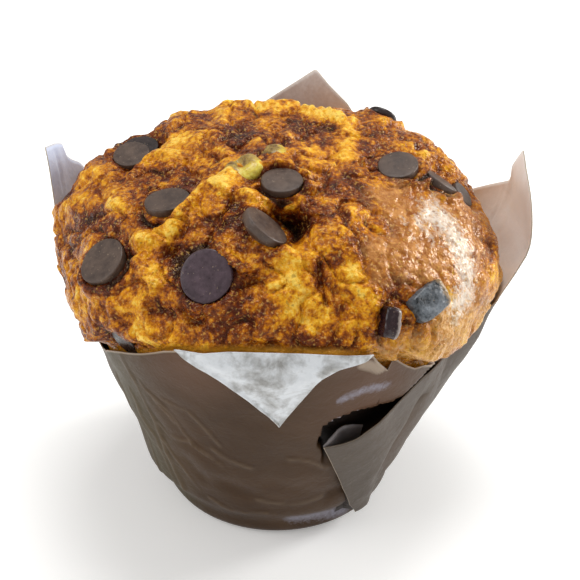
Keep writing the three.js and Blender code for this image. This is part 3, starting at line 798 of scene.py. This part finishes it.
def makeWall():
    startClean()
    radius = case["baseRadius"] * mm
    bpy.ops.mesh.primitive_cylinder_add(vertices=case["columns"], radius=radius, depth=10 * mm,
                                        end_fill_type="NOTHING", location=(0, 0, 5 * mm))
    piece = named("paper_cup")
    settle()
    mesh = piece.data
    pick(piece, "EDGE", lambda edge: np.ptp(heightsOf(mesh, edge)) > mm)  # the upright ones
    bpy.ops.mesh.subdivide(number_cuts=case["rows"] - 1)
    pick(piece, "EDGE", lambda edge: max(heightsOf(mesh, edge)) < 0.01 * mm)  # the bottom ring
    for share in (0.94, 0.9, 0.8, 0.6, 0.35):  # the base, drawn in ring by ring
        bpy.ops.mesh.extrude_edges_move()
        bpy.ops.transform.resize(value=(share, share, 1), center_override=(0, 0, 0))
    bpy.ops.mesh.merge(type="CENTER")
    bpy.ops.mesh.select_all(action="SELECT")
    bpy.ops.mesh.normals_make_consistent(inside=False)
    bpy.ops.object.mode_set(mode="OBJECT")

    points = pointsOf(piece)
    flat = np.hypot(points[:, 0], points[:, 1])
    azimuth = np.mod(np.degrees(np.arctan2(points[:, 1], points[:, 0])), 360)
    share = points[:, 2] / 10
    rounding = case["baseRounding"]
    wall = flat > case["baseRadius"] - 0.01
    edge = around(case["rim"], azimuth)
    footShare = case["footShare"]
    bend = np.minimum(share / footShare, 1) * math.pi / 2  # the first rows turn the corner at the foot
    up = np.maximum(0, share - footShare) / (1 - footShare)
    height = np.where(share < footShare, rounding * (1 - np.cos(bend)), rounding + up * (edge - rounding))
    blend = smooth(0, 6, height - rounding)
    foot = case["baseRadius"] - rounding * (1 - np.sin(bend))
    wallRadius = mix(case["baseRadius"], caseRadius(azimuth, height), blend)
    radius = np.where(share < footShare, foot, wallRadius)
    a = np.radians(azimuth)
    placed = np.stack([radius * np.cos(a), radius * np.sin(a), height], -1)
    base = points * (case["baseRadius"] - rounding) / case["baseRadius"]
    relief, lines = creaseRelief(placed)
    stiff = smooth(2, 9, height) * mix(1, 0.25, smooth(edge - 3, edge, height))
    pocket = pocketDepth(azimuth, height)
    push = relief * stiff - 2.2 * pocket
    placed[:, :2] *= ((radius + push) / np.maximum(radius, 1))[:, None]
    placed = np.where(wall[:, None], placed, base)
    placed[:, 2] = np.where(wall, placed[:, 2], 0)
    movePoints(piece, placed)
    paint(piece, "crease", lines * wall * smooth(0, 4, edge - height))
    paint(piece, "shade", smooth(0.3, 0.8, pocket))
    thinned = pathDistance(placed, casePath([(291.5, 54), (295, 52.4), (297, 51.2)])) / 1.9
    paint(piece, "edge", wall * np.maximum(smooth(edge - 0.9, edge - 0.3, height),
                                           0.85 * bell(thinned ** 2)))
    warm = smooth(40, 56, height) * bell(turnBetween(azimuth, 250), 14)
    warm += 0.9 * smooth(31, 42, height) * bell(turnBetween(azimuth, 297), 16)
    paint(piece, "warm", np.clip(warm, 0, 1))
    paint(piece, "olive", 0.9 * bell(turnBetween(azimuth, 212), 16))
    paint(piece, "grey", 0.75 * smooth(60, 100, np.abs(turnBetween(azimuth, 240))))
    # A rubbed scuff above the pleat; along the foot a painted sheen, and along the top of the pleat's
    # opening painted glints: painted highlights, all laid on in one bluish-grey layer
    scuff = pathDistance(placed, casePath([(287.5, 45.4), (293, 46.4), (300, 45.6)]))
    sheen = pathDistance(placed, casePath([(277, 5.5), (289.5, 5), (304, 3.4)]))
    glints = pathDistance(placed + 0.5 * grain(placed, 1.6, 26)[:, None],
                          casePath([(284, 38.3), (286.4, 39.6), (292.9, 40.2)]))
    speckled = smooth(-0.1, 0.25, grain(placed, 0.9, 27))
    worn = 0.95 * bell(scuff, 1.7) + 1.1 * bell(sheen, 2.6)
    paint(piece, "worn", worn + 1.5 * speckled * bell(glints, 0.4))
    # Painted light on the inside: a bluish sky reflection on the left petal, near-white light on the
    # right petal, painted shade on the back petal (back), and no corner glare on the wall
    paint(piece, "cool", bell(turnBetween(azimuth, 166), 30) * smooth(38, 60, height))
    paint(piece, "warmInside", bell(turnBetween(azimuth, 2), 26))
    paint(piece, "back", bell(turnBetween(azimuth, 84), 34))
    paint(piece, "silver", np.zeros(len(placed)))
    return piece


def sheetGrid(name, columns, rows):  # a plain sheet to lay: across 0..1 and up 0..1
    startClean()
    bpy.ops.mesh.primitive_grid_add(x_subdivisions=columns, y_subdivisions=rows, size=1 * mm)
    piece = named(name)
    settle()
    return piece, pointsOf(piece)[:, 0] + 0.5, pointsOf(piece)[:, 1] + 0.5


def makeCorner():
    piece, across, up = sheetGrid("paper_corner_folded", 68, 46)
    heights, lefts, rights = np.array(paper["cornerEdges"]).T
    height = mix(heights[0], heights[-1], up)
    x = mix(np.interp(height, heights, lefts), np.interp(height, heights, rights), across)
    azimuth = 270 + np.degrees(np.arctan2(x, case["foldReach"]))
    height -= (heights[-1] - around(case["rim"], azimuth)) * smooth(0.6, 1, up)
    reach = caseRadius(azimuth, height)
    y = -np.sqrt(np.maximum(reach ** 2 - x ** 2, 1))
    hang = 0.75 * (1 - smooth(0.84, 1, up)) + 0.5 * np.sin(math.pi * across) * (1 - up) * 0.6
    curl = 0.5 * smooth(0.1, 0, across) * (1 - smooth(0.8, 1, up))
    points = np.stack([x, y - 0.12 - hang - curl, height + 0.12 * smooth(0.9, 1, up)], -1)
    ripple = 0.22 * grain(points, 4.5, 31) + 0.1 * grain(points, 2, 32)
    points[:, 1] += ripple * smooth(0, 0.15, 1 - up)
    movePoints(piece, points)
    rim = np.minimum.reduce([across, 1 - across]) * (rights[-1] - lefts[-1]) * np.maximum(up, 0.05)
    # the folded corner's inside is painted in grey and white patches: painted reflection of glare
    paint(piece, "silver", 1 + 0 * up)
    paint(piece, "edge", smooth(0.5, 0.1, rim) * 0.7)
    return piece


def makeFlap():
    piece, across, up = sheetGrid("paper_pleat_flap", 112, 60)
    foot = paper["flapFoot"]
    creaseHeights, creasePlaces = zip(*paper["flapCrease"])
    guess = mix(foot, creaseHeights[-1], up)
    azimuth = mix(np.interp(guess, creaseHeights, creasePlaces), paper["flapEnd"], across)
    height = mix(foot, np.interp(azimuth, *zip(*case["flapTop"])), up)
    azimuth = mix(np.interp(height, creaseHeights, creasePlaces), paper["flapEnd"], across)
    height = mix(foot, np.interp(azimuth, *zip(*case["flapTop"])), up)
    meet = 1 - smooth(0.3, 0.72, across)
    bulge = 1.0 + 0.9 * np.sin(math.pi * np.clip(across * 1.8, 0, 1)) * up ** 2
    points = onCase(azimuth, height, bulge * meet + 0.3 - 0.2 * smooth(0.8, 1, across))
    outward = unit(points * (1, 1, 0))
    relief = 0.3 * grain(points, 9, 41) + 0.14 * grain(points, 3.5, 42)
    for path, depth, width in paper["flapDips"]:
        relief -= depth * bell(pathDistance(points, casePath(path)), width)
    points += outward * (relief * smooth(0, 0.12, across) * (1 - smooth(0.85, 1, across)))[:, None]
    movePoints(piece, points)
    paint(piece, "grey", 0.75 + 0 * up)
    paint(piece, "edge", np.maximum(smooth(0.012, 0.004, across), smooth(0.985, 0.995, up) * 0.7))
    paint(piece, "worn", bell(pathDistance(points, casePath([(301, 13), (303, 13.4)])), 0.5))
    return piece


def makeReturn():  # the pleat's hidden layer, whose pale side shows in the opening
    piece, across, up = sheetGrid("paper_pleat_return", 60, 24)
    creaseHeights, creasePlaces = zip(*paper["flapCrease"])
    crease = np.interp(mix(paper["flapFoot"], creaseHeights[-1], up), creaseHeights, creasePlaces)
    azimuth = mix(crease + 0.1, 298, across)
    top = np.interp(azimuth, *zip(*paper["flapLens"]))
    height = mix(paper["flapFoot"] + 1, top, up)
    stand = 0.85 - 1.9 * smooth(0.0, 0.5, across)
    movePoints(piece, onCase(azimuth, height, stand))
    # painted shade: the pale side is darkened where it shows in the pleat's opening
    paint(piece, "shade", 0.8 + 0 * up)
    return piece


def giveThickness(piece, insideOut=False):
    mesh = piece.data
    mesh.materials.clear()
    pair = (paperInside, paperOutside) if insideOut else (paperOutside, paperInside)
    for material in pair:
        mesh.materials.append(material)
    hold(piece)
    thick = piece.modifiers.new("paper", "SOLIDIFY")
    thick.thickness = case["thickness"] * mm
    thick.offset = -1
    thick.material_offset = 1
    bpy.ops.object.modifier_apply(modifier=thick.name)
    bpy.ops.object.shade_smooth()


def turnOutwards(piece):  # an open sheet's faces are made to look away from the muffin's axis
    mesh = piece.data
    lean = sum(face.normal.dot(face.center * Vector((1, 1, 0))) * face.area for face in mesh.polygons)
    if lean < 0:
        hold(piece)
        bpy.ops.object.mode_set(mode="EDIT")
        bpy.ops.mesh.select_all(action="SELECT")
        bpy.ops.mesh.flip_normals()
        bpy.ops.object.mode_set(mode="OBJECT")


wall, corner, flap, back = makeWall(), makeCorner(), makeFlap(), makeReturn()
for sheet in (wall, corner, flap, back):
    turnOutwards(sheet)
giveThickness(wall)
giveThickness(corner, insideOut=True)
giveThickness(flap)
giveThickness(back, insideOut=True)
hold(wall)
for sheet in (corner, flap, back):
    sheet.select_set(True)
bpy.ops.object.join()
paperCase = bpy.context.object
paperCase.name = "paper_wrap"
addToModel(paperCase, "paper_case")
print("paper", len(paperCase.data.polygons), "faces")

cakePiece = makeCake()
cakePiece.data.materials.append(crust)
addToModel(cakePiece, "cake")
print("cake", len(cakePiece.data.polygons), "faces")

# Chocolate drops: one is modelled, and copied to every CAD chip's place.
chip = dict(
    radius=4.0, side=1.2, bevel=0.24, sides=56, dome=0.06,
    tip=[(0.9, 0.5), (0.72, 0.6), (0.45, 0.6)],  # the drop's buried tip: share of width, drop
    rings=(0.5, 0.7, 0.8, 0.8),  # of the flat face, from its edge inwards
    # the chips in shade get the darker copy: painted shade
    finishes=dict(chip_front=chocolateCool, chip_left_shoulder_back=chocolateInShade,
                  chip_back=chocolateInShade, chip_left_rim=chocolateInShade),
)


def makeChip():
    startClean()
    depth = chip["side"] * mm
    bpy.ops.mesh.primitive_cylinder_add(vertices=chip["sides"], radius=chip["radius"] * mm, depth=depth,
                                        location=(0, 0, -depth / 2))
    piece = named("chip_model")
    settle()
    mesh = piece.data
    pick(piece, "FACE", lambda face: face.normal.z < -0.9)
    for share, drop in chip["tip"]:
        bpy.ops.mesh.extrude_region_move(TRANSFORM_OT_translate={"value": (0, 0, -drop * mm)})
        bpy.ops.transform.resize(value=(share, share, 1), center_override=(0, 0, 0))
    pick(piece, "EDGE", lambda edge: min(heightsOf(mesh, edge)) > -0.01 * mm)
    bpy.ops.mesh.bevel(offset=chip["bevel"] * mm, segments=4, profile=0.5)
    pick(piece, "FACE", lambda face: face.normal.z > 0.9 and len(face.vertices) == chip["sides"])
    for width in chip["rings"]:
        bpy.ops.mesh.inset(thickness=width * mm, depth=0)
    bpy.ops.mesh.poke()
    bpy.ops.object.mode_set(mode="OBJECT")
    points = pointsOf(piece)
    across = np.hypot(points[:, 0], points[:, 1])
    top = smooth(-0.4, 0, points[:, 2])
    points[:, 2] += chip["dome"] * (1 - (across / chip["radius"]) ** 2) * top
    movePoints(piece, points)
    bpy.ops.object.shade_smooth_by_angle(angle=math.radians(50))
    return piece


def layAlong(piece, centre, normal, turn=0.0, size=(1, 1, 1)):
    toward = Vector(normal).to_track_quat("Z", "Y").to_matrix().to_4x4()
    spin = Matrix.Rotation(math.radians(turn), 4, "Z")
    scale = Matrix.Diagonal((*size, 1))
    piece.data.transform(Matrix.Translation(Vector(centre) * mm) @ toward @ spin @ scale)
    piece.data.update()


def roughen(piece, amount, size, seed):
    points = pointsOf(piece)
    middle = points.mean(0)
    outward = points - middle
    outward /= np.maximum(np.linalg.norm(outward, axis=1), 0.01)[:, None]
    movePoints(piece, points + outward * (amount * grain(points, size, seed))[:, None])


chipModel = makeChip()
for i, name in enumerate(chipNames):
    centre, normal, radius = chipFaces[name]
    piece = bpy.data.objects.new(name.replace("chip_", "chocolate_chip_"), chipModel.data.copy())
    scene.collection.objects.link(piece)
    share = radius / chip["radius"]
    layAlong(piece, centre, normal, 40 * i, (share, share * (1 - 0.02 * (i % 3)), share))
    roughen(piece, 0.12, 3, 60 + i)
    piece.data.materials.append(chip["finishes"].get(name, chocolate))
    addToModel(piece, name)
bpy.data.objects.remove(chipModel)
print("chips", len(chipNames))

# Broken chocolate and candied fruit, square or rounded blocks in the crust.
lumps = dict(
    chocolate_chunk_small=dict(
        piece="chunk_of_chocolate_small", slot="chocolate", material=chunkDark,
        size=(3.2, 5.4, 4.2), turn=-108, looks=(292, 25), square=5, crust=(0.3, 1.2)),
    chocolate_chunk_large=dict(
        piece="chunk_of_chocolate_large", slot="chocolate", material=chunkGrey,
        size=(8.2, 5.4, 2.8), turn=-80, looks=(308, 34), square=5, crust=(1.6, 5.5)),
    fruit_piece_large=dict(
        piece="piece_of_fruit_large", slot="fruit", material=fruit,
        size=(7.2, 5.6, 3.2), turn=-35, looks=(250, 70), square=2.8, notch=[(0.4, 3.4, 2), (0, 0.6, 2)]),
    fruit_piece_small=dict(
        piece="piece_of_fruit_small", slot="fruit", material=fruit, lit=-0.4,
        size=(4.6, 4.2, 2.6), turn=0, looks=(270, 80), square=2.6),
)


def makeLump(name, facts):
    piece = makeBlock(facts["piece"], (0, 0, 0), (3, 3, 1))
    points = pointsOf(piece)
    power = facts["square"]  # a high power keeps the block square, a low one rounds it
    length = (np.abs(points) ** power).sum(1) ** (1 / power)
    points = points / length[:, None] * np.array(facts["size"]) / 2
    if "notch" in facts:  # in its far side
        notch = pathDistance(points, np.array(facts["notch"]))
        points[:, 2] -= 1.5 * bell(notch) * (points[:, 2] > 0)
    movePoints(piece, points)
    paint(piece, "lit", smooth(0.5, -1.5, points[:, 1]) + facts.get("lit", 0))
    if "crust" in facts:
        paint(piece, "crusted", smooth(*facts["crust"], points[:, 0]))
    low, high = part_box(name)
    centre = np.array((low + high) / 2) / mm
    layAlong(piece, centre, bearing(*facts["looks"]), facts["turn"] + 90)
    roughen(piece, 0.22, 1.6, 80)
    roughen(piece, 0.1, 0.8, 81)
    piece.data.materials.append(facts["material"])
    bpy.ops.object.shade_smooth()
    addToModel(piece, name)


for name, facts in lumps.items():
    makeLump(name, facts)
print("chunks and fruit", len(lumps))

# Floor, light and camera.
studio = dict(
    eye=(0, -0.2013, 0.1721), aim=(0.0029, 0.00166, 0.04396), lens=71.7,
    floor="#F7F6F4", floorClouds="#F8F7F4", sky="#FFFFFF", skyStrength=0.5, floorGlow=0.22,
    lights=[  # place, aim, size, watts
        ((0.5, 0.16, 0.21), (0.02, -0.01, 0.065), 0.15, 1.9),
        ((0.05, 0.12, 0.7), (0, 0, 0.05), 0.3, 2.4),
        ((-0.5, -0.15, 0.42), (0.02, 0, 0.05), 0.35, 1.1),
    ],
)


def lookFrom(thing, place, aim):
    thing.location = place
    thing.rotation_euler = (Vector(aim) - Vector(place)).to_track_quat("-Z", "Y").to_euler()


startClean()
bpy.ops.mesh.primitive_plane_add(size=6, location=(0, 0, -0.0002))
floor = named("floor")
matte, tree, shader, fields = startMaterial("paleStudioSweep", [("soft", 60, 2, 0.5, 0)])
pale = layColours(tree, fields, studio["floor"], [("soft", studio["floorClouds"])])
tree.links.new(pale, shader.inputs["Base Color"])
shader.inputs["Roughness"].default_value = 0.9
shader.inputs["Specular IOR Level"].default_value = 0.1
shader.inputs["Emission Color"].default_value = hexColour(studio["sky"])
shader.inputs["Emission Strength"].default_value = studio["floorGlow"]
floor.data.materials.append(matte)

world = bpy.data.worlds.new("softRoom")
world.use_nodes = True
sky = world.node_tree.nodes["Background"]
sky.inputs[0].default_value = hexColour(studio["sky"])
sky.inputs[1].default_value = studio["skyStrength"]
scene.world = world

for i, (place, aim, size, watts) in enumerate(studio["lights"]):
    bpy.ops.object.light_add(type="AREA")
    lamp = bpy.context.object
    lamp.name = f"softbox_{i}"
    lamp.data.size = size
    lamp.data.energy = watts
    lookFrom(lamp, place, aim)

bpy.ops.object.camera_add()
camera = bpy.context.object
camera.name = "camera"
camera.data.lens = studio["lens"]
camera.data.sensor_width = 36
camera.data.clip_start = 0.01
lookFrom(camera, studio["eye"], studio["aim"])
scene.camera = camera
scene.view_settings.view_transform = "Standard"
print("studio is ready")
